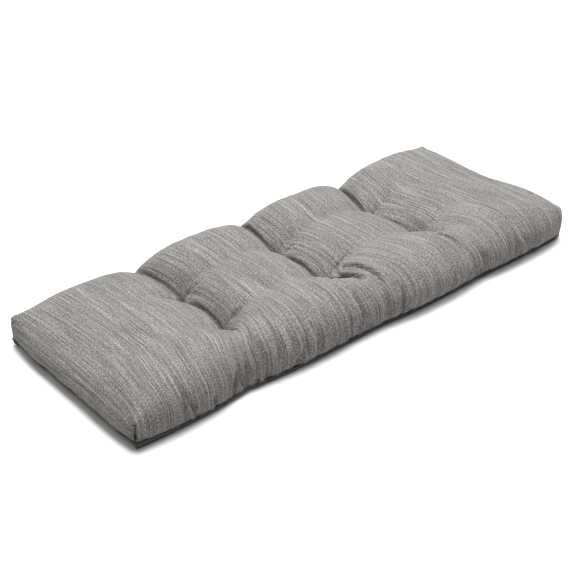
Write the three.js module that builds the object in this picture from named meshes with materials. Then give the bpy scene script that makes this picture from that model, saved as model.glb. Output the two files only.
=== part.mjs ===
// A tufted bench cushion lying on its base panel: one filled cover with two rows of tufts and four darted
// corners, and the base panel sewn to it along the bottom seam.
// Millimetres, +X along the bench, +Y to its back, +Z up, floor at Z = 0.
import * as THREE from "three";
import { mergeVertices } from "three/addons/utils/BufferGeometryUtils.js";

// The cushion between its darts
const LENGTH = 1226;
const DEPTH = 452;

// Tufts stand at the quarters of the length and the thirds of the depth.
const TUFT_COLUMNS = [-LENGTH / 4, 0, LENGTH / 4];
const TUFT_ROWS = [-DEPTH / 6, DEPTH / 6];
const CUTS_ACROSS = [-LENGTH / 2, ...TUFT_COLUMNS, LENGTH / 2];
const CUTS_ALONG = [-DEPTH / 2, ...TUFT_ROWS, DEPTH / 2];

// The filling from the left end to the right one, with a row for each end, puff and tuft column, ends and
// columns first and then every other row: height over the floor by the front, in the middle and by the back,
// and how far the two long walls stand out from the darts
const FILLING = [
  { front: 88, middle: 86, back: 80, frontOut: 4, backOut: 0 },
  { front: 108, middle: 104, back: 101, frontOut: 12, backOut: 14 },
  { front: 112, middle: 101, back: 110, frontOut: -6, backOut: -4 },
  { front: 112, middle: 107, back: 111, frontOut: 14, backOut: 15 },
  { front: 112, middle: 103, back: 113, frontOut: 9, backOut: 0 },
  { front: 112, middle: 105, back: 111, frontOut: 24, backOut: 15 },
  { front: 112, middle: 97, back: 106, frontOut: 17, backOut: -4 },
  { front: 112, middle: 99, back: 107, frontOut: 23, backOut: 14 },
  { front: 104, middle: 84, back: 84, frontOut: 12, backOut: 0 },
];

// How far the cloth is pulled to the right in each of those rows: at the front edge, at the two rows of tufts
// and at the back edge
const PULLS = [
  { frontEdge: 0, frontTufts: 0, backTufts: 0, backEdge: 0 },
  { frontEdge: -18, frontTufts: 8, backTufts: 8, backEdge: 0 },
  { frontEdge: -30, frontTufts: 26, backTufts: 24, backEdge: -5 },
  { frontEdge: -6, frontTufts: 6, backTufts: 6, backEdge: -4 },
  { frontEdge: 25, frontTufts: -10, backTufts: -12, backEdge: -12 },
  { frontEdge: 20, frontTufts: -10, backTufts: -16, backEdge: -8 },
  { frontEdge: 12, frontTufts: -8, backTufts: -32, backEdge: -12 },
  { frontEdge: 6, frontTufts: -4, backTufts: -14, backEdge: 0 },
  { frontEdge: 0, frontTufts: 0, backTufts: 0, backEdge: 0 },
];

// The corners, with the height of the dart's top and of the bottom seam over the floor
const CORNERS = [
  { x: -1, y: -1, top: 70, seam: 20 },
  { x: 1, y: -1, top: 86, seam: 13 },
  { x: 1, y: 1, top: 80, seam: 13 },
  { x: -1, y: 1, top: 74, seam: 15 },
];
// How far a corner's heights and its tight rounding reach, and how fast they fade
const CORNER = { topReach: 150, topFall: 1.6, seamReach: 215, seamFall: 2, radiusReach: 95, radiusRise: 1.5 };
const SEAM_HEIGHT = 13; // half way along an edge

// How far the short walls stand out half way between their darts, at the bottom seam and over it
const SHORT_WALL = { leftSeam: -11, left: 5, rightSeam: 0, right: 10 };

// A wall's bulge is fullest near half way up, and a share of it is left at the seam of the long walls. It
// fades towards the darts and over the top by these powers of the distance from the middle.
const BULGE = { upward: 0.8, longSeamShare: 0.6, shortFade: 24, longFade: 8, dartFade: 4 };

// The rounding from the top to a wall: how far in it starts, and the share of the wall's height that it takes
const ROUNDING = { dart: 9, longEdge: 56, shortEdge: 42, dartShare: 0.3, share: 0.62 };

// Valleys through the tufts: across the bench they run to the back edge and fade towards the front one, along
// it they fade between two tufts
const ACROSS = { atTuft: 52, between: 42, atBack: 38, atFront: 10, halfWidth: 118, sharpness: 2.7 };
const FRONT_REACH = 0.68; // share of the way from the front tufts to the edge
const ALONG = { atTuft: 46, between: 9, fade: 58, fadePower: 1.5, halfWidth: 74, sharpness: 1.9 };
const PIT = { depth: 15, radius: 30 };

// The base panel, which rounds up to the seam within its rise, and the dimple that each tuft pulls in it
const BASE = { thickness: 2.5, gap: 0.3, rim: 1.5, rise: 18 };
const DIMPLE = { depth: 7, radius: 46, sharpness: 1.5 };

// Cells of the surface from one tuft line to the next, and down a wall
const CELLS = { x: 14, y: 9, wall: 8, grading: 0.55 };

const GREY = 0x8b8986;

const { clamp, lerp } = THREE.MathUtils;
const smooth = (share) => THREE.MathUtils.smoothstep(share, 0, 1);
const nearest = (at, places) => Math.min(...places.map((place) => Math.abs(at - place)));

// Places from the first cut to the last, closer together beside each cut
function stations(cuts, cells) {
  const places = [];
  for (let k = 0; k + 1 < cuts.length; k++) {
    for (let i = 0; i < cells; i++) {
      const even = i / cells;
      const graded = (1 - Math.cos(Math.PI * even)) / 2;
      places.push(lerp(cuts[k], cuts[k + 1], lerp(even, graded, CELLS.grading)));
    }
  }
  return [...places, cuts.at(-1)];
}

// A column of a table with nine rows at a place along the bench: sharp at the tufts and round on the puffs
function along(table, x, column) {
  const place = clamp((x / LENGTH + 0.5) * (table.length - 1), 0, table.length - 1);
  const row = Math.min(Math.floor(place), table.length - 2);
  const share = (Math.PI / 2) * (place - row);
  const eased = row % 2 === 0 ? Math.sin(share) : 1 - Math.cos(share);
  return lerp(table[row][column], table[row + 1][column], eased);
}

// How far the cloth is pulled to the right at a place
function pull(x, y) {
  const pastTufts = smooth((Math.abs(y) - TUFT_ROWS[1]) / (DEPTH / 2 - TUFT_ROWS[1]));
  const betweenTufts = smooth((y - TUFT_ROWS[0]) / (TUFT_ROWS[1] - TUFT_ROWS[0]));
  const atTufts = lerp(along(PULLS, x, "frontTufts"), along(PULLS, x, "backTufts"), betweenTufts);
  return lerp(atTufts, along(PULLS, x, y < 0 ? "frontEdge" : "backEdge"), pastTufts);
}

// The nearest corner, and how far it is
function cornerAt(x, y) {
  const corner = CORNERS.find((c) => c.x * x >= 0 && c.y * y >= 0);
  return { corner, away: Math.hypot(LENGTH / 2 - Math.abs(x), DEPTH / 2 - Math.abs(y)) };
}

// Cross-section of a valley: a crease at its middle, rising to nothing at its half width
function valley(distance, { halfWidth, sharpness }) {
  return Math.pow(Math.max(0, 1 - distance / halfWidth), sharpness);
}

// How far the tufts pull the top down
function tuftDepth(x, y) {
  const fromColumn = nearest(x, TUFT_COLUMNS);
  const fromRow = nearest(y, TUFT_ROWS);
  const rowShare = fromRow / (Math.abs(y) < TUFT_ROWS[1] ? TUFT_ROWS[1] : DEPTH / 2 - TUFT_ROWS[1]);
  let across = lerp(ACROSS.atTuft, ACROSS.between, smooth(rowShare));
  if (y > TUFT_ROWS[1]) across = lerp(ACROSS.atTuft, ACROSS.atBack, smooth(rowShare));
  if (y < TUFT_ROWS[0]) across = lerp(ACROSS.atTuft, ACROSS.atFront, smooth(rowShare / FRONT_REACH));
  const fading = Math.exp(-Math.pow(fromColumn / ALONG.fade, ALONG.fadePower));
  const pastEnds = Math.abs(x) > TUFT_COLUMNS[2];
  const acrossCut = across * valley(fromColumn, ACROSS);
  const alongCut = lerp(pastEnds ? 0 : ALONG.between, ALONG.atTuft, fading) * valley(fromRow, ALONG);
  const pit = PIT.depth * Math.exp(-Math.hypot(fromColumn, fromRow) / PIT.radius);
  return Math.cbrt(acrossCut ** 3 + alongCut ** 3) + pit;
}

// Height of the cover over the floor before its edges are rounded
function coverHeight(x, y) {
  const outer = y < 0 ? "front" : "back";
  const full = lerp(along(FILLING, x, "middle"), along(FILLING, x, outer), smooth(Math.abs(y) / (DEPTH / 3)));
  const { corner, away } = cornerAt(x, y);
  const cornering = Math.pow(clamp(1 - away / CORNER.topReach, 0, 1), CORNER.topFall);
  return lerp(full - tuftDepth(x, y), corner.top, cornering);
}

function seamHeight(x, y) {
  const { corner, away } = cornerAt(x, y);
  const cornering = Math.pow(clamp(1 - away / CORNER.seamReach, 0, 1), CORNER.seamFall);
  return lerp(SEAM_HEIGHT, corner.seam, cornering);
}

// A point of the cover, from its place on the plain box that it would be without filling.
// rise is 1 on the top and falls to 0 at the bottom seam.
function coverPoint(x, y, rise) {
  const halfLength = LENGTH / 2;
  const halfDepth = DEPTH / 2;
  const { away } = cornerAt(x, y);
  const fullness = 1 - Math.exp(-Math.pow(away / CORNER.radiusReach, CORNER.radiusRise));
  const radiusX = lerp(ROUNDING.dart, ROUNDING.shortEdge, fullness);
  const radiusY = lerp(ROUNDING.dart, ROUNDING.longEdge, fullness);
  const radiusZ = lerp(ROUNDING.dartShare, ROUNDING.share, fullness);
  const overX = Math.max(0, Math.abs(x) - (halfLength - radiusX)) / radiusX;
  const overY = Math.max(0, Math.abs(y) - (halfDepth - radiusY)) / radiusY;
  const overZ = Math.max(0, rise - (1 - radiusZ)) / radiusZ;
  const pullIn = 1 - 1 / Math.max(1, Math.hypot(overX, overY, overZ));
  const boxX = Math.abs(x) - overX * radiusX * pullIn;
  const boxY = Math.abs(y) - overY * radiusY * pullIn;
  const level = rise - overZ * radiusZ * pullIn;

  const bulge = Math.sin(Math.PI * Math.pow(level, BULGE.upward));
  const longOut = along(FILLING, x, y < 0 ? "frontOut" : "backOut");
  const { leftSeam, left, rightSeam, right } = SHORT_WALL;
  const shortOut = x < 0 ? lerp(leftSeam, left, bulge) : lerp(rightSeam, right, bulge);
  const betweenDarts = 1 - Math.pow(y / halfDepth, BULGE.dartFade);
  const outX = Math.pow(boxX / halfLength, BULGE.shortFade) * betweenDarts * shortOut;
  const outY = Math.pow(boxY / halfDepth, BULGE.longFade) * longOut * lerp(BULGE.longSeamShare, 1, bulge);
  const height = lerp(seamHeight(x, y), coverHeight(Math.sign(x) * boxX, Math.sign(y) * boxY), level);
  const placeX = Math.sign(x) * (boxX + outX) + pull(x, y);
  return new THREE.Vector3(placeX, Math.sign(y) * (boxY + outY), height);
}

// A point of the base panel, raised by lift and moved out from the bottom seam by rim:
// flat on the floor, rising to the seam along its edge and dimpled under each tuft
function basePoint(x, y, lift, rim) {
  const point = coverPoint(x, y, 0);
  const toSeam = Math.min(LENGTH / 2 - Math.abs(x), DEPTH / 2 - Math.abs(y));
  const rising = 1 - Math.sqrt(1 - Math.pow(clamp(1 - toSeam / BASE.rise, 0, 1), 2));
  const fromTuft = Math.hypot(nearest(x, TUFT_COLUMNS), nearest(y, TUFT_ROWS));
  const dimple = DIMPLE.depth * Math.pow(Math.max(0, 1 - fromTuft / DIMPLE.radius), DIMPLE.sharpness);
  point.x += Math.abs(x) < LENGTH / 2 ? 0 : Math.sign(x) * rim;
  point.y += Math.abs(y) < DEPTH / 2 ? 0 : Math.sign(y) * rim;
  point.z = seamHeight(x, y) * rising + dimple + lift;
  return point;
}

// A closed mesh from three ways to place a point: top(x, y), bottom(x, y) and wall(x, y, share of the way)
function closedShell({ top, bottom, wall, wallCells }) {
  const xs = stations(CUTS_ACROSS, CELLS.x);
  const ys = stations(CUTS_ALONG, CELLS.y);
  const corners = [];
  const quad = (a, b, c, d) => corners.push(a, b, c, a, c, d);
  for (let i = 0; i + 1 < xs.length; i++) {
    for (let j = 0; j + 1 < ys.length; j++) {
      const [x0, x1, y0, y1] = [xs[i], xs[i + 1], ys[j], ys[j + 1]];
      quad(top(x0, y0), top(x1, y0), top(x1, y1), top(x0, y1));
      quad(bottom(x0, y0), bottom(x0, y1), bottom(x1, y1), bottom(x1, y0));
    }
  }
  const loop = [
    ...xs.map((x) => [x, ys[0]]),
    ...ys.slice(1).map((y) => [xs.at(-1), y]),
    ...xs.slice(0, -1).reverse().map((x) => [x, ys.at(-1)]),
    ...ys.slice(0, -1).reverse().map((y) => [xs[0], y]),
  ];
  for (let k = 0; k + 1 < loop.length; k++) {
    const [here, next] = [loop[k], loop[k + 1]];
    for (let row = 0; row < wallCells; row++) {
      const [upper, lower] = [row / wallCells, (row + 1) / wallCells];
      quad(wall(...here, upper), wall(...here, lower), wall(...next, lower), wall(...next, upper));
    }
  }
  const merged = mergeVertices(new THREE.BufferGeometry().setFromPoints(corners), 1e-3);
  merged.computeVertexNormals();
  return merged;
}

function coverGeometry() {
  const bottom = (x, y) => basePoint(x, y, BASE.thickness + BASE.gap, 0);
  return closedShell({
    top: (x, y) => coverPoint(x, y, 1),
    bottom,
    wall: (x, y, down) => (down < 1 ? coverPoint(x, y, 1 - down) : bottom(x, y)),
    wallCells: CELLS.wall,
  });
}

function baseGeometry() {
  return closedShell({
    top: (x, y) => basePoint(x, y, BASE.thickness, BASE.rim),
    bottom: (x, y) => basePoint(x, y, 0, BASE.rim),
    wall: (x, y, down) => basePoint(x, y, BASE.thickness * (1 - down), BASE.rim),
    wallCells: 1,
  });
}

function piece(name, geometry) {
  const material = new THREE.MeshStandardMaterial({ color: GREY, roughness: 0.95, metalness: 0 });
  const mesh = new THREE.Mesh(geometry, material);
  mesh.name = name;
  return mesh;
}

const cushion = new THREE.Group();
cushion.add(piece("cushion_body", coverGeometry()));
cushion.add(piece("base_panel", baseGeometry()));

// The middle of the cushion's box stands over the origin.
const box = new THREE.Box3().setFromObject(cushion);
const middle = box.getCenter(new THREE.Vector3());
cushion.children.forEach((mesh) => mesh.geometry.translate(-middle.x, -middle.y, -box.min.z));

export default cushion;
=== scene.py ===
"""The looks of a tufted bench cushion: its filled cover with tufts, darts, seam and creases,
its base panel, and the woven cloth of both, on a pale floor in soft light."""
import math

import bpy
import numpy as np
from mathutils import Euler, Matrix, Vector
from mathutils.bvhtree import BVHTree


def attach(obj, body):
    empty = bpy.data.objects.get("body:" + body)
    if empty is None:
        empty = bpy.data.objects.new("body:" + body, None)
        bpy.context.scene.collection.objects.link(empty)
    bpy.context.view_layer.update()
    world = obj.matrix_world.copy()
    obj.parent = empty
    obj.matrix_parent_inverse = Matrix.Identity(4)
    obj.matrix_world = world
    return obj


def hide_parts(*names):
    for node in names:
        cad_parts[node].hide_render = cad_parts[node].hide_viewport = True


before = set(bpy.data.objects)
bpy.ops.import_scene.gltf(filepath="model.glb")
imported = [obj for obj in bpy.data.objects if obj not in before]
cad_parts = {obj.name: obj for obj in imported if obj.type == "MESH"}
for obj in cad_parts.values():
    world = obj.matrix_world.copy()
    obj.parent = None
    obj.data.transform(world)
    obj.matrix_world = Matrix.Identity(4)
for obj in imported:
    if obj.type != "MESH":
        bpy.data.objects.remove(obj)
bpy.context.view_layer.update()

MM = 0.001

# The cushion between its darts, in millimetres. Its tufts stand at the quarters of the length and
# the thirds of the depth.
LENGTH = 1226
DEPTH = 452
TUFT_X = (-LENGTH / 4, 0, LENGTH / 4)
TUFT_Y = (-DEPTH / 6, DEPTH / 6)
CUTS_X = (-LENGTH / 2, *TUFT_X, LENGTH / 2)
CUTS_Y = (-DEPTH / 2, *TUFT_Y, DEPTH / 2)

# The filling from the left end to the right one, with a place for each end, puff and tuft column:
# its height over the floor, and how far the long walls stand out from the darts
FILLING = {
    "front": (88, 108, 112, 112, 112, 112, 112, 112, 104),
    "middle": (86, 104, 101, 107, 103, 105, 97, 99, 84),
    "back": (80, 101, 110, 111, 113, 111, 106, 107, 84),
    "front_out": (4, 12, -6, 17, 16, 32, 27, 34, 23),
    "back_out": (0, 14, -4, 15, 0, 15, -4, 14, 0),
}
# How far the cloth is pulled to the right at the same places
PULLS = {
    "front_edge": (0, -18, -30, -6, 25, 20, 12, 6, 0),
    "front_tufts": (0, 8, 26, 6, -10, -10, -8, -4, 0),
    "back_tufts": (0, 8, 24, 6, -12, -16, -32, -14, 0),
    "back_edge": (0, 0, -5, -4, -12, -8, -12, 0, 0),
}
# The corners, as front left, front right, back left and back right: the height of the dart's top
# and of the bottom seam, and how far each one reaches before it fades
CORNER_TOP = (70, 86, 74, 80)
CORNER_SEAM = (20, 9, 15, 13)
TOP_REACH, TOP_FALL = 150, 1.6
SEAM_REACH, SEAM_FALL = 215, 2
RADIUS_REACH, RADIUS_RISE = 95, 1.5

# The walls: the seam's height, lower under the left wall, how far the short walls stand out from
# the darts at the seam and at the belly, and how the bellies fade to the darts
SEAM_HEIGHT = 13
LEFT_SEAM = {"height": 5, "reach": 60, "clear": 70}
SHORT_WALL = {"left_seam": -22, "left": 10, "right_seam": 0, "right": 10}
BULGE = {"upward": 0.8, "seam_share": 0.6, "short_fade": 24, "long_fade": 8, "dart_fade": 4}
ROUNDING = {"dart": 9, "long": 56, "short": 42, "dart_share": 0.3, "share": 0.62}

# The valleys that the tufts pull into the filling, through a column across the bench and along a
# row, and the pit of each tuft
ACROSS = {
    "tuft": 52, "between": 42, "back": 38, "front": 10, "front_reach": 0.68,
    "width": 118, "sharp": 2.7,
}
ALONG = {"tuft": 46, "between": 9, "fade": 58, "power": 1.5, "width": 74, "sharp": 1.9}
PIT_DEPTH, PIT_RADIUS = 15, 30

BASE = {"thickness": 2.5, "gap": 0.3, "rim": 1.5, "rise": 10}
DIMPLE = {"depth": 7, "radius": 46, "sharp": 1.5}

# Cells of the cover from one tuft line to the next and down a wall, before the last subdivision
CELLS_X, CELLS_Y, CELLS_WALL, GRADING = 50, 24, 14, 0.3


def lerp(a, b, t):
    return a + (b - a) * t


def smooth(t):
    t = np.clip(t, 0, 1)
    return t * t * (3 - 2 * t)


def nearest(at, places):
    return np.min([np.abs(at - place) for place in places], axis=0)


def stations(cuts, cells):
    """Places from the first cut to the last, a little closer together beside each cut."""
    even = np.arange(cells) / cells
    share = lerp(even, (1 - np.cos(np.pi * even)) / 2, GRADING)
    return np.concatenate([lerp(a, b, share) for a, b in zip(cuts, cuts[1:])] + [[cuts[-1]]])


def along(table, column, x):
    """A column of a table at a place along the bench: sharp at the tufts and round on the puffs."""
    values = np.array(table[column], float)
    place = np.clip((x / LENGTH + 0.5) * (len(values) - 1), 0, len(values) - 1)
    row = np.minimum(place.astype(int), len(values) - 2)
    share = np.pi / 2 * (place - row)
    eased = np.where(row % 2 == 0, np.sin(share), 1 - np.cos(share))
    return lerp(values[row], values[row + 1], eased)


def by_side(y, front, back):
    return np.where(y < 0, front, back)


def pull(x, y):
    past = smooth((np.abs(y) - TUFT_Y[1]) / (DEPTH / 2 - TUFT_Y[1]))
    between = smooth((y - TUFT_Y[0]) / (TUFT_Y[1] - TUFT_Y[0]))
    at_tufts = lerp(along(PULLS, "front_tufts", x), along(PULLS, "back_tufts", x), between)
    at_edge = by_side(y, along(PULLS, "front_edge", x), along(PULLS, "back_edge", x))
    return lerp(at_tufts, at_edge, past)


def corner_distance(x, y):
    return np.hypot(LENGTH / 2 - np.abs(x), DEPTH / 2 - np.abs(y))


def tuft_distance(x, y):
    return np.hypot(nearest(x, TUFT_X), nearest(y, TUFT_Y))


def of_corner(x, y, values):
    """The value of the nearest corner."""
    return np.array(values, float)[np.where(y < 0, 0, 2) + np.where(x < 0, 0, 1)]


def near_corner(x, y, reach, fall):
    """1 at a corner, fading to 0 at its reach."""
    return np.clip(1 - corner_distance(x, y) / reach, 0, 1) ** fall


def valley(distance, width, sharp):
    return np.maximum(0, 1 - distance / width) ** sharp


def tuft_depth(x, y):
    from_column = nearest(x, TUFT_X)
    from_row = nearest(y, TUFT_Y)
    share = from_row / np.where(np.abs(y) < TUFT_Y[1], TUFT_Y[1], DEPTH / 2 - TUFT_Y[1])
    across = lerp(ACROSS["tuft"], ACROSS["between"], smooth(share))
    across = np.where(y > TUFT_Y[1], lerp(ACROSS["tuft"], ACROSS["back"], smooth(share)), across)
    front = lerp(ACROSS["tuft"], ACROSS["front"], smooth(share / ACROSS["front_reach"]))
    across = np.where(y < TUFT_Y[0], front, across)
    fading = np.exp(-(from_column / ALONG["fade"]) ** ALONG["power"])
    row_depth = lerp(np.where(np.abs(x) > TUFT_X[2], 0, ALONG["between"]), ALONG["tuft"], fading)
    across_cut = across * valley(from_column, ACROSS["width"], ACROSS["sharp"])
    along_cut = row_depth * valley(from_row, ALONG["width"], ALONG["sharp"])
    pit = PIT_DEPTH * np.exp(-np.hypot(from_column, from_row) / PIT_RADIUS)
    return np.cbrt(across_cut**3 + along_cut**3) + pit


def cover_height(x, y):
    by_edge = by_side(y, along(FILLING, "front", x), along(FILLING, "back", x))
    full = lerp(along(FILLING, "middle", x), by_edge, smooth(np.abs(y) / (DEPTH / 3)))
    at_corner = near_corner(x, y, TOP_REACH, TOP_FALL)
    return lerp(full - tuft_depth(x, y), of_corner(x, y, CORNER_TOP), at_corner)


def seam_height(x, y):
    at_corner = near_corner(x, y, SEAM_REACH, SEAM_FALL)
    height = lerp(SEAM_HEIGHT, of_corner(x, y, CORNER_SEAM), at_corner)
    by_left_wall = 1 - smooth((x + LENGTH / 2) / LEFT_SEAM["reach"])
    past_corners = smooth((DEPTH / 2 - np.abs(y)) / LEFT_SEAM["clear"])
    return lerp(height, LEFT_SEAM["height"], by_left_wall * past_corners)


def cover_point(x, y, rise):
    """A point of the cover from its place on the plain box, where rise is 1 on the top and 0 at
    the bottom seam."""
    half_x, half_y = LENGTH / 2, DEPTH / 2
    fullness = 1 - np.exp(-(corner_distance(x, y) / RADIUS_REACH) ** RADIUS_RISE)
    radius_x = lerp(ROUNDING["dart"], ROUNDING["short"], fullness)
    radius_y = lerp(ROUNDING["dart"], ROUNDING["long"], fullness)
    radius_z = lerp(ROUNDING["dart_share"], ROUNDING["share"], fullness)
    over_x = np.maximum(0, np.abs(x) - (half_x - radius_x)) / radius_x
    over_y = np.maximum(0, np.abs(y) - (half_y - radius_y)) / radius_y
    over_z = np.maximum(0, rise - (1 - radius_z)) / radius_z
    pull_in = 1 - 1 / np.maximum(1, np.sqrt(over_x**2 + over_y**2 + over_z**2))
    box_x = np.abs(x) - over_x * radius_x * pull_in
    box_y = np.abs(y) - over_y * radius_y * pull_in
    level = rise - over_z * radius_z * pull_in
    bulge = np.sin(np.pi * np.clip(level, 0, 1) ** BULGE["upward"])
    long_out = by_side(y, along(FILLING, "front_out", x), along(FILLING, "back_out", x))
    short_out = np.where(
        x < 0,
        lerp(SHORT_WALL["left_seam"], SHORT_WALL["left"], bulge),
        lerp(SHORT_WALL["right_seam"], SHORT_WALL["right"], bulge),
    )
    between_darts = 1 - (np.abs(y) / half_y) ** BULGE["dart_fade"]
    out_x = (box_x / half_x) ** BULGE["short_fade"] * between_darts * short_out
    out_y = (box_y / half_y) ** BULGE["long_fade"] * long_out * lerp(BULGE["seam_share"], 1, bulge)
    placed_x = np.sign(x) * (box_x + out_x) + pull(x, y)
    placed_y = np.sign(y) * (box_y + out_y)
    height = lerp(seam_height(x, y), cover_height(np.sign(x) * box_x, np.sign(y) * box_y), level)
    return np.stack([placed_x, placed_y, height], -1)


def base_point(x, y, lift, rim):
    """A point of the base panel, which lies on the floor, rises to the seam and is dimpled under
    each tuft."""
    point = cover_point(x, y, np.zeros_like(x))
    to_seam = np.minimum(LENGTH / 2 - np.abs(x), DEPTH / 2 - np.abs(y))
    rising = 1 - np.sqrt(1 - np.clip(1 - to_seam / BASE["rise"], 0, 1) ** 2)
    under_tuft = np.maximum(0, 1 - tuft_distance(x, y) / DIMPLE["radius"])
    point[..., 0] += np.where(np.abs(x) < LENGTH / 2, 0, np.sign(x) * rim)
    point[..., 1] += np.where(np.abs(y) < DEPTH / 2, 0, np.sign(y) * rim)
    dimple = DIMPLE["depth"] * under_tuft ** DIMPLE["sharp"]
    point[..., 2] = seam_height(x, y) * rising + dimple + lift
    return point


def loop_around(nx, ny):
    """Grid places (i, j) around the edge of a grid, against the clock from the front left corner,
    with the wall that follows each: 0 front, 1 right, 2 back, 3 left."""
    front = [(i, 0, 0) for i in range(nx - 1)]
    right = [(nx - 1, j, 1) for j in range(ny - 1)]
    back = [(i, ny - 1, 2) for i in range(nx - 1, 0, -1)]
    left = [(0, j, 3) for j in range(ny - 1, 0, -1)]
    return front + right + back + left


def arc_places(points, axis, cuts_at):
    """Mean arc length along a grid's axis, from its middle, in metres."""
    steps = np.linalg.norm(np.diff(points, axis=axis), axis=-1).mean(axis=1 - axis)
    length = np.concatenate([[0], np.cumsum(steps)]) * MM
    return length - length[cuts_at]


def make_object(name, verts, faces, uvs):
    """A smooth mesh object from points in millimetres, with a cloth place for each face corner."""
    mesh = bpy.data.meshes.new(name)
    mesh.from_pydata((np.asarray(verts) * MM).tolist(), [], [list(f) for f in faces])
    layer = mesh.uv_layers.new(name="Cloth")
    layer.data.foreach_set("uv", np.asarray(uvs, np.float32).ravel())
    mesh.shade_smooth()
    made = bpy.data.objects.new(name, mesh)
    bpy.context.scene.collection.objects.link(made)
    return made


def coords(mesh):
    out = np.zeros(len(mesh.vertices) * 3, np.float32)
    mesh.vertices.foreach_get("co", out)
    return out.reshape(-1, 3).astype(float)


def set_coords(mesh, points):
    mesh.vertices.foreach_set("co", points.astype(np.float32).ravel())
    mesh.update()


def normals(mesh):
    out = np.zeros(len(mesh.vertices) * 3, np.float32)
    mesh.vertex_normals.foreach_get("vector", out)
    return out.reshape(-1, 3).astype(float)


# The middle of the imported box, which stands over the origin
MIDDLE = (2.53, -4.48, 0)

xs = stations(CUTS_X, CELLS_X)
ys = stations(CUTS_Y, CELLS_Y)
NX, NY = len(xs), len(ys)
grid_x, grid_y = np.meshgrid(xs, ys, indexing="ij")
edge = loop_around(NX, NY)
edge_x = np.array([xs[i] for i, j, side in edge])
edge_y = np.array([ys[j] for i, j, side in edge])
wall_down = np.arange(1, CELLS_WALL + 1) / CELLS_WALL
top_points = cover_point(grid_x, grid_y, np.ones_like(grid_x))
wall_points = np.stack([
    cover_point(edge_x, edge_y, np.full_like(edge_x, 1 - down)) for down in wall_down
])
wall_points[-1, :, 2] += BASE["thickness"] + BASE["gap"]
top_points -= MIDDLE
wall_points -= MIDDLE


def build_cover():
    """The cover as an open shell: the top grid, and wall rows down to the bottom seam."""
    verts = [top_points.reshape(-1, 3), wall_points.reshape(-1, 3)]
    u_at = arc_places(top_points, 0, NX // 2)
    v_at = arc_places(top_points, 1, NY // 2)
    rows = [np.array([i * NY + j for i, j, side in edge])]
    for row in range(CELLS_WALL):
        rows.append(NX * NY + row * len(edge) + np.arange(len(edge)))
    top_edge = np.array([top_points[i, j] for i, j, side in edge])
    drops = np.linalg.norm(np.diff(np.concatenate([top_edge[None], wall_points]), axis=0), axis=-1)
    fall = np.concatenate([np.zeros((1, len(edge))), np.cumsum(drops, axis=0)]) * MM
    faces, uvs = [], []
    for i in range(NX - 1):
        for j in range(NY - 1):
            corners = [(i, j), (i + 1, j), (i + 1, j + 1), (i, j + 1)]
            faces.append([a * NY + b for a, b in corners])
            uvs += [(u_at[a], v_at[b]) for a, b in corners]

    def wall_uv(k, side, depth):
        i, j, _ = edge[k % len(edge)]
        return {
            0: (u_at[i], v_at[0] - depth),
            1: (u_at[-1] + depth, v_at[j]),
            2: (u_at[i], v_at[-1] + depth),
            3: (u_at[0] - depth, v_at[j]),
        }[side]

    count = len(edge)
    for k in range(count):
        side = edge[k][2]
        after = (k + 1) % count
        for row in range(CELLS_WALL):
            faces.append((rows[row][k], rows[row + 1][k], rows[row + 1][after], rows[row][after]))
            uvs += [
                wall_uv(k, side, fall[row][k]),
                wall_uv(k, side, fall[row + 1][k]),
                wall_uv(after, side, fall[row + 1][after]),
                wall_uv(after, side, fall[row][after]),
            ]
    return make_object("cushion", np.concatenate(verts), faces, uvs)


cover = build_cover()
down_of = np.concatenate([np.zeros(NX * NY), np.repeat(wall_down, len(edge))])
flat_x = np.concatenate([grid_x.ravel(), np.tile(edge_x, CELLS_WALL)])
flat_y = np.concatenate([grid_y.ravel(), np.tile(edge_y, CELLS_WALL)])

# Places that the stitching holds fast, from 0 to 1: the tuft columns, the tufts, the darts, and the
# bottom seam with the foot of the wall. Reaches are in millimetres.
HOLD = {"least": 0.06, "column": 0.97, "front_column": 0.4, "foot": 0.14}
HOLD_REACH = {"column": 8, "tuft": 17, "dart": 12}
from_column = nearest(flat_x, TUFT_X)
from_tuft = tuft_distance(flat_x, flat_y)
column_hold = np.where(flat_y < TUFT_Y[0], HOLD["front_column"], HOLD["column"]) * (down_of == 0)
held = np.maximum.reduce([
    np.full_like(flat_x, HOLD["least"]),
    np.exp(-(from_column / HOLD_REACH["column"]) ** 2) * column_hold,
    np.exp(-(from_tuft / HOLD_REACH["tuft"]) ** 2),
    np.exp(-(corner_distance(flat_x, flat_y) / HOLD_REACH["dart"]) ** 2),
    smooth((down_of - 1 + HOLD["foot"]) / HOLD["foot"]),
])


def below_top(down):
    """0 on the top and its rounded edge, rising to 1 from the middle of the wall down."""
    return smooth((down - 0.1) / 0.5)


# Spare cloth, which gathers above the bottom seam and around the tufts
SPARE = {"tuft": 0.6, "tuft_reach": 60}
by_tuft = SPARE["tuft"] * np.exp(-(from_tuft / SPARE["tuft_reach"]) ** 2)
spare = np.clip(below_top(down_of) + by_tuft, 0, 1)


def paint_group(obj, name, weights):
    """A vertex group with the given weights, in whole hundredths."""
    group = obj.vertex_groups.new(name=name)
    for level in range(101):
        chosen = np.nonzero(np.round(weights * 100).astype(int) == level)[0]
        if len(chosen):
            group.add(chosen.tolist(), level / 100, "REPLACE")
    return group.name


CLOTH_FRAMES = 20
MOST_MOVE = 9 * MM
CLOTH_SETTINGS = {
    "quality": 6,
    "mass": 0.35,
    "tension_stiffness": 18,
    "compression_stiffness": 12,
    "shear_stiffness": 6,
    "bending_stiffness": 0.6,
    "use_pressure": True,
    "uniform_pressure_force": 4,
    "pin_stiffness": 1.0,
    "shrink_min": 0,
    "shrink_max": -0.07,
}


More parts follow.
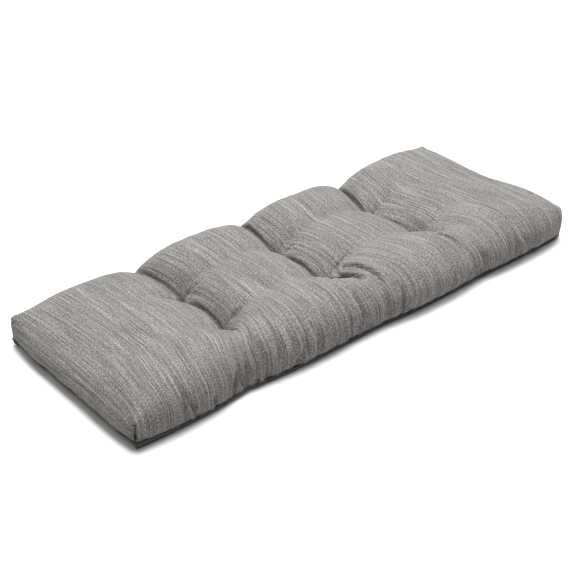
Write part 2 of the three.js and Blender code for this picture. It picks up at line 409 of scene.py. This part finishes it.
def swell(obj):
    """The filling presses the cover out against its stitches, and the spare cloth folds."""
    pins = paint_group(obj, "held", held)
    slack = paint_group(obj, "spare", spare)
    before = coords(obj.data)
    modifier = obj.modifiers.new("cloth", "CLOTH")
    settings = modifier.settings
    for name, value in CLOTH_SETTINGS.items():
        setattr(settings, name, value)
    settings.effector_weights.gravity = 0
    settings.vertex_group_mass = pins
    settings.vertex_group_shrink = slack
    modifier.point_cache.frame_start = 1
    modifier.point_cache.frame_end = CLOTH_FRAMES
    scene = bpy.context.scene
    for number in range(1, CLOTH_FRAMES + 1):
        scene.frame_set(number)
    evaluated = obj.evaluated_get(bpy.context.evaluated_depsgraph_get())
    after = coords(evaluated.data)
    scene.frame_set(1)
    obj.modifiers.remove(modifier)
    obj.vertex_groups.clear()
    move = after - before
    size = np.linalg.norm(move, axis=1, keepdims=True)
    set_coords(obj.data, before + move * np.minimum(1, MOST_MOVE / np.maximum(size, 1e-9)))


def apply_modifiers(obj):
    evaluated = obj.evaluated_get(bpy.context.evaluated_depsgraph_get())
    mesh = bpy.data.meshes.new_from_object(evaluated)
    old = obj.data
    obj.modifiers.clear()
    obj.data = mesh
    mesh.name = obj.name
    bpy.data.meshes.remove(old)


def store(obj, name, values):
    attribute = obj.data.attributes.new(name, "FLOAT", "POINT")
    attribute.data.foreach_set("value", values.astype(np.float32))


def take(obj, name):
    """A stored value of each point, which then leaves the mesh."""
    attribute = obj.data.attributes[name]
    out = np.zeros(len(obj.data.vertices), np.float32)
    attribute.data.foreach_get("value", out)
    obj.data.attributes.remove(attribute)
    return out.astype(float)


swell(cover)
store(cover, "down", down_of)
store(cover, "flat_x", flat_x)
store(cover, "flat_y", flat_y)
subdivision = cover.modifiers.new("subdivision", "SUBSURF")
subdivision.levels = subdivision.render_levels = 1
apply_modifiers(cover)
down_of, flat_x, flat_y = (take(cover, name) for name in ("down", "flat_x", "flat_y"))
SEED = 7
rng = np.random.default_rng(SEED)


def push(obj, depth):
    """Moves each point inwards by its depth in millimetres."""
    set_coords(obj.data, coords(obj.data) - normals(obj.data) * (depth * MM)[:, None])


def ripple(u, v, shortest, longest, waves):
    """Smooth random lumps between two wavelengths, about -1 to 1."""
    total = np.zeros_like(u)
    for _ in range(waves):
        angle, phase = rng.uniform(0, 2 * np.pi, 2)
        turn = 2 * np.pi / rng.uniform(shortest, longest)
        total += np.sin((u * math.cos(angle) + v * math.sin(angle)) * turn + phase)
    return total / math.sqrt(waves)


# Broad lumps of the filling: height, shortest and longest wave in millimetres, number of waves
LUMPS = [(0.7, 80, 150, 14), (0.22, 30, 55, 18)]
# Pleats that run into each tuft: height and reach in millimetres, fewest and most of them
PLEATS = {"height": 2.0, "reach": 34, "pit": 10, "fewest": 6, "most": 9, "sway": 0.6}
CALM_ABOVE_SEAM = 0.2

lumps = sum(height * ripple(flat_x, flat_y, *waves) for height, *waves in LUMPS)
pleats = np.zeros_like(lumps)
for tuft_x in TUFT_X:
    for tuft_y in TUFT_Y:
        away = np.hypot(flat_x - tuft_x, flat_y - tuft_y)
        angle = np.arctan2(flat_y - tuft_y, flat_x - tuft_x)
        count = rng.integers(PLEATS["fewest"], PLEATS["most"] + 1)
        phase = rng.uniform(0, 2 * np.pi)
        fold = np.cos(count * angle + phase + PLEATS["sway"] * np.sin(2 * angle + phase))
        fade = np.exp(-(away / PLEATS["reach"]) ** 2) * np.clip(away / PLEATS["pit"], 0, 1)
        pleats += PLEATS["height"] * fold * fade
seam_calm = 1 - smooth((down_of - 1 + CALM_ABOVE_SEAM) / CALM_ABOVE_SEAM)
push(cover, (lumps + pleats) * seam_calm)

# Folds beside the tuft columns: depth and width in millimetres, the column, and the places that
# they run through, from that column's line
COLUMN_FOLDS = [
    (8, 6, 0, [(3, 235), (0, 180), (-2, 120), (0, 78)]),
    (9, 4.5, 0, [(0, 72), (2, 30), (0, -30), (0, -74)]),
    (14, 4.5, 1, [(0, 238), (4, 190), (0, 130), (0, 78)]),
    (7, 4, 1, [(-34, 232), (-26, 190), (-13, 140), (-9, 100)]),
    (11, 4.5, 1, [(0, 72), (3, 30), (0, -30), (0, -74)]),
    (14, 6, 1, [(4, -78), (11, -98), (12, -122), (7, -150), (-6, -180)]),
    (13, 6, 1, [(36, -98), (39, -124), (35, -150), (25, -182), (12, -216)]),
    (18, 4.5, 2, [(-6, 240), (0, 190), (3, 130), (0, 78)]),
    (8, 5, 2, [(0, 72), (2, 30), (0, -30), (0, -74)]),
    (14, 5, 2, [(-62, -138), (-55, -157), (-46, -171), (-42, -192), (-45, -222)]),
    (7, 16, 2, [(-40, -160), (-46, -200), (-48, -240)]),
    (6, 15, 0, [(6, -150), (10, -200), (12, -240)]),
]
RIDGE = {"share": 0.35, "place": 2.2, "width": 0.9}
FOLD_FALL, FOLD_POWER = 1.1, 1.4
FOLD_STEP = 2
COLUMN_REACH = 110


def fold_profile(away):
    """How deep a fold is at a distance of so many widths, with a low ridge on each side."""
    cut = np.exp(-FOLD_FALL * away**FOLD_POWER)
    return cut - RIDGE["share"] * np.exp(-(((away - RIDGE["place"]) / RIDGE["width"]) ** 2))


def taper(share, end, power):
    """Fades a fold towards both ends of its line."""
    return np.sin(np.pi * np.clip(share, end, 1 - end)) ** power


def deepest(depths, near, cut):
    """Adds a fold to the depths so far: the deeper one stays, and a ridge only where none is."""
    before = depths[near]
    ridged = np.where(before > 0, before, cut)
    depths[near] = np.where(cut > 0, np.maximum(before, cut), ridged)


def lengths_along(points):
    """The length of a line up to each of its points."""
    return np.concatenate([[0], np.cumsum(np.linalg.norm(np.diff(points, axis=0), axis=1))])


def points_along(points, lengths, at):
    """The points of a line at the given lengths along it."""
    return np.stack([np.interp(at, lengths, column) for column in points.T], -1)


def column_fold_depths():
    """How deep each point of the top goes into the folds beside the tuft columns."""
    depths = np.zeros_like(flat_x)
    for depth, width, column, through in COLUMN_FOLDS:
        places = np.array(through, float) + (TUFT_X[column], 0)
        lengths = lengths_along(places)
        line = points_along(places, lengths, np.arange(0, lengths[-1], FOLD_STEP))
        near = np.nonzero(np.abs(flat_x - TUFT_X[column]) < COLUMN_REACH)[0]
        offsets = np.hypot(
            flat_x[near][:, None] - line[:, 0], flat_y[near][:, None] - line[:, 1]
        )
        fading = taper(offsets.argmin(1) / (len(line) - 1), 0.06, 0.4)
        deepest(depths, near, depth * fading * fold_profile(offsets.min(1) / width))
    return depths * (1 - below_top(down_of))


push(cover, column_fold_depths())

# The camera stands where the photograph's did.
camera_data = bpy.data.cameras.new("camera")
camera_data.lens = 74.04
camera_data.sensor_width = 36
CAMERA_PLACE = (-1.4963, -1.6816, 1.4397)
CAMERA_DOWN, CAMERA_TURN = 0.5701, 0.8610
camera = bpy.data.objects.new("camera", camera_data)
camera.location = CAMERA_PLACE
camera.rotation_euler = Euler((math.pi / 2 - CAMERA_DOWN, 0, CAMERA_TURN - math.pi / 2))
bpy.context.scene.collection.objects.link(camera)
bpy.context.scene.camera = camera


# Creases: depth and width in millimetres, then the pixels of the photograph's frame that they
# run through
CREASES = [
    # rows, beside the tufts
    (6, 5, [(185.3, 301.3), (190.7, 291.3), (198.7, 282), (206.7, 275.3)]),
    (5, 5, [(232, 322.7), (237.3, 312.7), (245.3, 306)]),
    (4, 5, [(284, 255), (289, 249), (296, 242)]),
    (6, 4, [(330, 279), (335.6, 270), (342, 261), (350, 253)]),
    (3, 6, [(376, 215), (382, 207), (390, 199)]),
    (3, 6, [(430, 233), (440, 226), (452, 219)]),
    (11, 4, [(436, 234.5), (443, 234.5), (449, 237), (457, 242.5)]),
    # front tufts to the front edge
    (5, 9, [(244, 331), (248, 343), (250, 355), (252, 368)]),
    (5, 6, [(349, 290), (354.4, 296.7), (360, 306.7), (364.4, 315.6), (368, 324)]),
    (4, 7, [(456, 240), (461, 250), (464, 262)]),
    # folds in the front wall, from left to right
    (4, 4, [(234.5, 368), (235.2, 381), (234, 395)]),
    (5, 4, [(255.5, 374), (254.5, 381), (252, 388)]),
    (3, 5, [(288, 334), (292, 341), (295, 350)]),
    (3, 5, [(343, 330), (344, 337), (344.5, 343)]),
    (4, 4, [(353, 320), (355, 325), (356, 331)]),
    (4, 4, [(370, 322), (372, 327), (371, 333)]),
    (3, 5, [(395.6, 304), (392.5, 312), (391, 320)]),
    (3, 5, [(407.5, 280), (411, 288), (412, 297)]),
]
CREASE_STEP = 2.5 * MM
CREASE_REACH = 4
SMOOTHINGS = 3
FRAME_SIZE = 576
CAMERA_REACH = 2.5


def seen_at(tree, pixel):
    """The point of the surface that a pixel of the photograph's frame shows."""
    across = (pixel[0] / FRAME_SIZE - 0.5) * camera_data.sensor_width
    upward = (0.5 - pixel[1] / FRAME_SIZE) * camera_data.sensor_width
    ray = camera.rotation_euler.to_matrix() @ Vector((across, upward, -camera_data.lens))
    hit = tree.ray_cast(camera.location, ray.normalized())[0]
    if hit is None:
        hit = tree.find_nearest(camera.location + ray.normalized() * CAMERA_REACH)[0]
    return np.array(hit)


def surface_line(tree, points):
    """A line on the surface through the given pixels, or by the given places in millimetres."""
    placed = [seen_at(tree, p) if len(p) == 2 else np.array(p) * MM for p in points]
    ends = [np.array(tree.find_nearest(Vector(p))[0]) for p in placed]
    line = []
    for a, b in zip(ends, ends[1:]):
        steps = max(2, int(np.linalg.norm(b - a) / CREASE_STEP))
        line += [lerp(a, b, step / steps) for step in range(steps)]
    line.append(ends[-1])
    line = np.array(line)
    for _ in range(SMOOTHINGS):
        line[1:-1] = (line[:-2] + 2 * line[1:-1] + line[2:]) / 4
    return np.array([np.array(tree.find_nearest(Vector(p))[0]) for p in line])


def crease_depths(obj, creases):
    """How deep each point goes into the creases, which fade at their ends."""
    points = coords(obj.data)
    faces = [list(p.vertices) for p in obj.data.polygons]
    tree = BVHTree.FromPolygons(points.tolist(), faces)
    depths = np.zeros(len(points))
    for depth, width, through in creases:
        line = surface_line(tree, through)
        reach = CREASE_REACH * width * MM
        low, high = line.min(0) - reach, line.max(0) + reach
        near = np.nonzero(np.all((points > low) & (points < high), axis=1))[0]
        if not len(near):
            continue
        offsets = np.linalg.norm(points[near][:, None] - line[None], axis=-1)
        away = offsets.min(1) / (width * MM)
        fading = taper(offsets.argmin(1) / (len(line) - 1), 0.04, 0.6)
        deepest(depths, near, depth * fading * fold_profile(away))
    return depths


# Short folds that stand on the bottom seam, deep in the long walls and slight in the short ones:
# ranges of depth and width in millimetres, and of the share of the wall that they climb
GATHERS = {
    "count": 140, "long_depth": (3, 11), "short_depth": (0.6, 2),
    "width": (4, 8.5), "climb": (0.3, 0.9), "foot": 0.02, "lean": 3, "steps": 4,
}


def seam_gathers():
    """The gathers, as creases through places on the walls."""
    gathers = []
    for k in np.sort(rng.choice(len(edge), GATHERS["count"], replace=False)):
        long_wall = edge[k][2] in (0, 2)
        depth = rng.uniform(*GATHERS["long_depth" if long_wall else "short_depth"])
        heights = np.linspace(GATHERS["foot"], rng.uniform(*GATHERS["climb"]), GATHERS["steps"] + 1)
        rows = np.round((1 - heights) * CELLS_WALL).astype(int) - 1
        rows = np.clip(rows, 0, CELLS_WALL - 1)
        lean = rng.normal(0, GATHERS["lean"])
        through = [
            tuple(wall_points[row][int(k + lean * step / GATHERS["steps"]) % len(edge)])
            for step, row in enumerate(rows)
        ]
        gathers.append((depth, rng.uniform(*GATHERS["width"]), through))
    return gathers


push(cover, crease_depths(cover, CREASES))
push(cover, crease_depths(cover, seam_gathers()))

# Each corner is closed by a dart, a seam that pulls its line in.
DART_DEPTH = (14, 7, 3, 5)
DART_WIDTH = 4.2
DART_START = 0.2
on_dart = np.exp(-(corner_distance(flat_x, flat_y) / DART_WIDTH) ** 2)
on_dart *= smooth(down_of / DART_START) * seam_calm
push(cover, of_corner(flat_x, flat_y, DART_DEPTH) * on_dart)


def close_underside(obj):
    """Closes the open bottom with one face, hidden over the base panel, and gives its border."""
    mesh = obj.data
    edges_used = {}
    for polygon in mesh.polygons:
        for key in polygon.edge_keys:
            edges_used[key] = edges_used.get(key, 0) + 1
    border = {}
    for a, b in (key for key, used in edges_used.items() if used == 1):
        border.setdefault(a, []).append(b)
        border.setdefault(b, []).append(a)
    start = min(border)
    ring, previous, here = [start], None, start
    while True:
        following = [n for n in border[here] if n != previous]
        previous, here = here, following[0]
        if here == start:
            break
        ring.append(here)
    points = coords(mesh)
    x, y = points[ring, 0], points[ring, 1]
    area = (x * np.roll(y, -1) - np.roll(x, -1) * y).sum()
    if area > 0:
        ring.reverse()
    faces = [list(p.vertices) for p in mesh.polygons] + [ring]
    uv = np.zeros(len(mesh.loops) * 2, np.float32)
    mesh.uv_layers["Cloth"].data.foreach_get("uv", uv)
    uvs = np.concatenate([uv.reshape(-1, 2), points[ring][:, :2]])
    made = bpy.data.meshes.new(obj.name)
    made.from_pydata(points.tolist(), [], faces)
    made.uv_layers.new(name="Cloth").data.foreach_set("uv", uvs.astype(np.float32).ravel())
    made.shade_smooth()
    obj.data = made
    bpy.data.meshes.remove(mesh)
    made.name = obj.name
    return points[ring]


seam_line = close_underside(cover)

# The base panel
BASE_CELLS_X, BASE_CELLS_Y = 42, 28
RIM_STEPS = (0.4, 1.0, 2.0, 3.5, 5.5, 7.5, 10, 14)
RIM_GAP = 3


def with_rim(places):
    """The same places, with more of them by both ends."""
    first, last = places[0], places[-1]
    steps = np.array([0, *RIM_STEPS])
    inner = places[(places > first + steps[-1] + RIM_GAP) & (places < last - steps[-1] - RIM_GAP)]
    return np.concatenate([first + steps, inner, last - steps[::-1]])


base_xs = with_rim(stations(CUTS_X, BASE_CELLS_X))
base_ys = with_rim(stations(CUTS_Y, BASE_CELLS_Y))


def build_base():
    bx, by = np.meshgrid(base_xs, base_ys, indexing="ij")
    over = base_point(bx, by, BASE["thickness"], BASE["rim"]) - MIDDLE
    under = base_point(bx, by, 0, BASE["rim"]) - MIDDLE
    nx, ny = bx.shape
    faces, uvs = [], []

    def add_face(corners):
        """A face through corners that are each given as layer, 0 over and 1 under, and place."""
        faces.append([layer * nx * ny + i * ny + j for layer, (i, j) in corners])
        uvs.extend(over[place][:2] * MM for _, place in corners)

    for i in range(nx - 1):
        for j in range(ny - 1):
            ring = [(i, j), (i + 1, j), (i + 1, j + 1), (i, j + 1)]
            add_face([(0, place) for place in ring])
            add_face([(1, place) for place in reversed(ring)])
    around = [(i, j) for i, j, _ in loop_around(nx, ny)]
    for here, there in zip(around, around[1:] + around[:1]):
        add_face([(1, here), (1, there), (0, there), (0, here)])
    verts = np.concatenate([over.reshape(-1, 3), under.reshape(-1, 3)])
    return make_object("base", verts, faces, uvs)


base = build_base()

# The bottom seam: the folded edge of the cover, sewn to the base panel all round. It is an uneven
# roll, whose waves are counted along the whole seam.
SEAM = {
    "high": 3.4, "wide": 3.6, "sides": 10, "sink": 1.0, "drop": 0.8, "step": 3.0, "cloth": 1.1,
    "wobble": 0.8 / 3, "sideways": 0.6, "upward": 0.4,
}
SEAM_WAVES = {"count": 12, "size": (0.4, 1), "turns": (40, 260), "phase": (0, 6.3)}


def build_seam():
    closed = np.vstack([seam_line, seam_line[:1]]) / MM
    lengths = lengths_along(closed)
    count = int(lengths[-1] / SEAM["step"])
    at = np.arange(count) / count * lengths[-1]
    line = points_along(closed, lengths, at)
    ahead = np.roll(line, -1, 0) - np.roll(line, 1, 0)
    ahead /= np.linalg.norm(ahead, axis=1, keepdims=True)
    out = np.stack([ahead[:, 1], -ahead[:, 0], np.zeros(count)], -1)
    from_middle = line - line.mean(0)
    flip = np.sign((from_middle * out).sum(1).mean())
    out *= flip / np.linalg.norm(out, axis=1, keepdims=True)
    turn = 2 * np.pi * at / lengths[-1]
    wobble = np.zeros(count)
    for _ in range(SEAM_WAVES["count"]):
        size, turns = rng.uniform(*SEAM_WAVES["size"]), rng.integers(*SEAM_WAVES["turns"])
        wobble += size * np.sin(turn * turns + rng.uniform(*SEAM_WAVES["phase"]))
    wobble *= SEAM["wobble"]
    sides = SEAM["sides"]
    rings = []
    for side in range(sides):
        angle = 2 * np.pi * side / sides
        sideways = math.cos(angle) * SEAM["wide"] / 2 - SEAM["sink"] + SEAM["sideways"] * wobble
        upward = math.sin(angle) * SEAM["high"] / 2 - SEAM["drop"] + SEAM["upward"] * wobble
        rings.append(line + sideways[:, None] * out + upward[:, None] * (0, 0, 1))
    verts = np.stack(rings, 1).reshape(-1, 3)
    faces, uvs = [], []
    for k in range(count):
        here, there = at[k] * MM, (at[k] + SEAM["step"]) * MM
        for side in range(sides):
            low, high = side * SEAM["cloth"] * MM, (side + 1) * SEAM["cloth"] * MM
            a, b = k * sides + side, k * sides + (side + 1) % sides
            c, d = (b + sides) % len(verts), (a + sides) % len(verts)
            face, quad = [a, b, c, d], [(here, low), (here, high), (there, high), (there, low)]
            faces.append(face if flip < 0 else face[::-1])
            uvs += quad if flip < 0 else quad[::-1]
    return make_object("bottom_seam", verts, faces, uvs)


seam = build_seam()


# Cloth: a plain weave of grey slub yarns, whose light and dark streaks run the short way of the
# bench. Threads and noise are counted in cycles a metre.
THREADS = 930
# Layers of the tone: cycles across the streaks and along them, seed, detail, weight. The two slub
# layers count whole threads in place of metres one way.
TONE_LAYERS = {
    "broad": (60, 5, 0.7, 2.0, 0.08),
    "streaks": (430, 9, 5.3, 1.0, 0.72),
    "fine": (410, 340, 9.9, 1.0, 1.35),
    "warp_slub": (0.45, 10, 14.2, 1.0, 0.62),
    "weft_slub": (130, 0.5, 21.7, 1.0, 0.45),
}
DASHES = {"layer": (480, 13, 33.0, 1.0), "from": 0.6, "to": 0.78, "weight": 0.2}
WANDER = {"layer": (9, 5, 3.1, 2.0), "most": 0.006}
TONES = [(0.0, 0.07), (0.3, 0.145), (0.5, 0.225), (0.7, 0.36), (1.0, 0.58)]
WARMTH = (1.04, 1, 0.957)
# How the tone rises over a thread, with painted shade in the gaps between threads, and how the
# roughness falls with the tone: factor and start
WEAVE_GAP_SHADE = (0.24, 0.86)
ROUGHNESS = (-0.12, 0.96)


def node(tree, kind, inputs=None, **values):
    made = tree.nodes.new(kind)
    for name, value in values.items():
        setattr(made, name, value)
    for key, value in (inputs or {}).items():
        if isinstance(value, bpy.types.NodeSocket):
            tree.links.new(value, made.inputs[key])
        else:
            made.inputs[key].default_value = value
    return made


def math_node(tree, operation, a, b=0.0, c=0.0):
    return node(tree, "ShaderNodeMath", {0: a, 1: b, 2: c}, operation=operation).outputs[0]


def cloth_material(name, shade):
    """The weave, over the cloth coordinates of a piece, at a share of its full lightness."""
    material = bpy.data.materials.new(name)
    material.use_nodes = True
    tree = material.node_tree
    tree.nodes.clear()
    shader = node(tree, "ShaderNodeBsdfPrincipled")
    node(tree, "ShaderNodeOutputMaterial", {"Surface": shader.outputs[0]})
    uv = node(tree, "ShaderNodeUVMap", uv_map="Cloth")
    across, lengthwise, _ = node(tree, "ShaderNodeSeparateXYZ", {0: uv.outputs[0]}).outputs

    def noise(u, v, layer):
        along_u, along_v, seed, detail = layer
        place = node(tree, "ShaderNodeCombineXYZ", {
            0: math_node(tree, "MULTIPLY", u, along_u),
            1: math_node(tree, "MULTIPLY", v, along_v),
            2: seed,
        })
        return node(tree, "ShaderNodeTexNoise", {
            "Vector": place.outputs[0], "Scale": 1.0, "Detail": detail, "Roughness": 0.55,
        }, noise_dimensions="3D").outputs[0]

    # Yarns waver a little from straight.
    wander = noise(across, lengthwise, WANDER["layer"])
    wavy = math_node(tree, "MULTIPLY_ADD", wander, WANDER["most"], across)
    warp_thread = math_node(tree, "FLOOR", math_node(tree, "MULTIPLY", wavy, THREADS))
    weft_thread = math_node(tree, "FLOOR", math_node(tree, "MULTIPLY", lengthwise, THREADS))
    over = {"warp_slub": (warp_thread, lengthwise), "weft_slub": (across, weft_thread)}
    value = 0.5 - sum(layer[-1] for layer in TONE_LAYERS.values()) / 2
    layers = {}
    for key, (*layer, weight) in TONE_LAYERS.items():
        layers[key] = noise(*over.get(key, (wavy, lengthwise)), layer)
        value = math_node(tree, "MULTIPLY_ADD", layers[key], weight, value)
    dashes = node(tree, "ShaderNodeMapRange", {
        "Value": noise(wavy, lengthwise, DASHES["layer"]),
        "From Min": DASHES["from"], "From Max": DASHES["to"],
    }, interpolation_type="SMOOTHSTEP").outputs[0]
    value = math_node(tree, "MULTIPLY_ADD", dashes, DASHES["weight"], value)
    ramp = node(tree, "ShaderNodeValToRGB", {0: value})
    elements = ramp.color_ramp.elements
    while len(elements) < len(TONES):
        elements.new(0.5)
    for element, (position, tone) in zip(elements, TONES):
        element.position = position
        element.color = (*(shade * tone * warmth for warmth in WARMTH), 1)

    # The weave: one thread over and the next under, with painted shade darkening the gaps
    def wave(place):
        return math_node(tree, "SINE", math_node(tree, "MULTIPLY", place, THREADS * math.pi))

    relief = math_node(tree, "MULTIPLY", wave(wavy), wave(lengthwise))
    relief = math_node(tree, "MULTIPLY_ADD", relief, 0.5, 0.5)
    gap = math_node(tree, "MULTIPLY_ADD", relief, *WEAVE_GAP_SHADE)
    colour = node(tree, "ShaderNodeVectorMath", {0: ramp.outputs[0]}, operation="SCALE")
    tree.links.new(gap, colour.inputs["Scale"])
    tree.links.new(colour.outputs[0], shader.inputs["Base Color"])
    rough = math_node(tree, "MULTIPLY_ADD", value, *ROUGHNESS)
    tree.links.new(rough, shader.inputs["Roughness"])
    shader.inputs["Specular IOR Level"].default_value = 0.2
    shader.inputs["Sheen Weight"].default_value = 0.12
    shader.inputs["Sheen Roughness"].default_value = 0.5
    yarn = node(tree, "ShaderNodeBump", {
        "Strength": 0.6, "Distance": 0.0012, "Height": layers["streaks"],
    })
    woven = node(tree, "ShaderNodeBump", {
        "Strength": 0.5, "Distance": 0.0004, "Height": relief, "Normal": yarn.outputs[0],
    })
    tree.links.new(woven.outputs[0], shader.inputs["Normal"])
    return material


cloth = cloth_material("slub_weave", 0.56)
# Painted shade: the base panel gets the same weave at a quarter of the lightness, darkened to stand
# in for the deep shade in the gap under the bottom seam.
painted_shade_base_cloth = cloth_material("underside_weave", 0.14)
for piece, material in ((cover, cloth), (base, painted_shade_base_cloth), (seam, cloth)):
    piece.data.materials.append(material)
    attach(piece, "root")
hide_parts("cushion_body")
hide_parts("base_panel")


# The stage: a pale floor, five wide soft lights overhead and a dim sky
FLOOR_SIZE, FLOOR_TONE = 30, 0.74
LIGHT_WIDTH, LIGHT_DEPTH = 1.8, 1.6
SKY = 0.02


def plain_material(name, tone):
    material = bpy.data.materials.new(name)
    material.use_nodes = True
    shader = material.node_tree.nodes["Principled BSDF"]
    shader.inputs["Base Color"].default_value = (tone, tone, tone, 1)
    shader.inputs["Roughness"].default_value = 0.9
    shader.inputs["Specular IOR Level"].default_value = 0.1
    return material


floor_mesh = bpy.data.meshes.new("floor")
floor_corners = [(x * FLOOR_SIZE / 2, y * FLOOR_SIZE / 2, 0) for x, y in (
    (-1, -1), (1, -1), (1, 1), (-1, 1),
)]
floor_mesh.from_pydata(floor_corners, [], [(0, 1, 2, 3)])
floor = bpy.data.objects.new("floor", floor_mesh)
floor_mesh.materials.append(plain_material("pale_floor", FLOOR_TONE))
bpy.context.scene.collection.objects.link(floor)


def soft_light(name, place, power):
    """A wide light that is aimed at the middle of the floor."""
    data = bpy.data.lights.new(name, "AREA")
    data.shape = "RECTANGLE"
    data.size, data.size_y, data.energy = LIGHT_WIDTH, LIGHT_DEPTH, power
    light = bpy.data.objects.new(name, data)
    light.location = place
    light.rotation_euler = (-Vector(place)).to_track_quat("-Z", "Y").to_euler()
    bpy.context.scene.collection.objects.link(light)


LIGHTS = [
    ("overhead", (0, 0.3, 4.0), 146),
    ("behind", (0, 2.0, 3.5), 130),
    ("before", (0, -2.0, 3.5), 46),
    ("right", (2.0, 0, 3.5), 114),
    ("left", (-2.0, 0, 3.5), 34),
]
for name, place, power in LIGHTS:
    soft_light(name, place, power)
world = bpy.data.worlds.new("sky")
world.use_nodes = True
world.node_tree.nodes["Background"].inputs[0].default_value = (1, 1, 1, 1)
world.node_tree.nodes["Background"].inputs[1].default_value = SKY
bpy.context.scene.world = world
bpy.context.scene.view_settings.view_transform = "Standard"
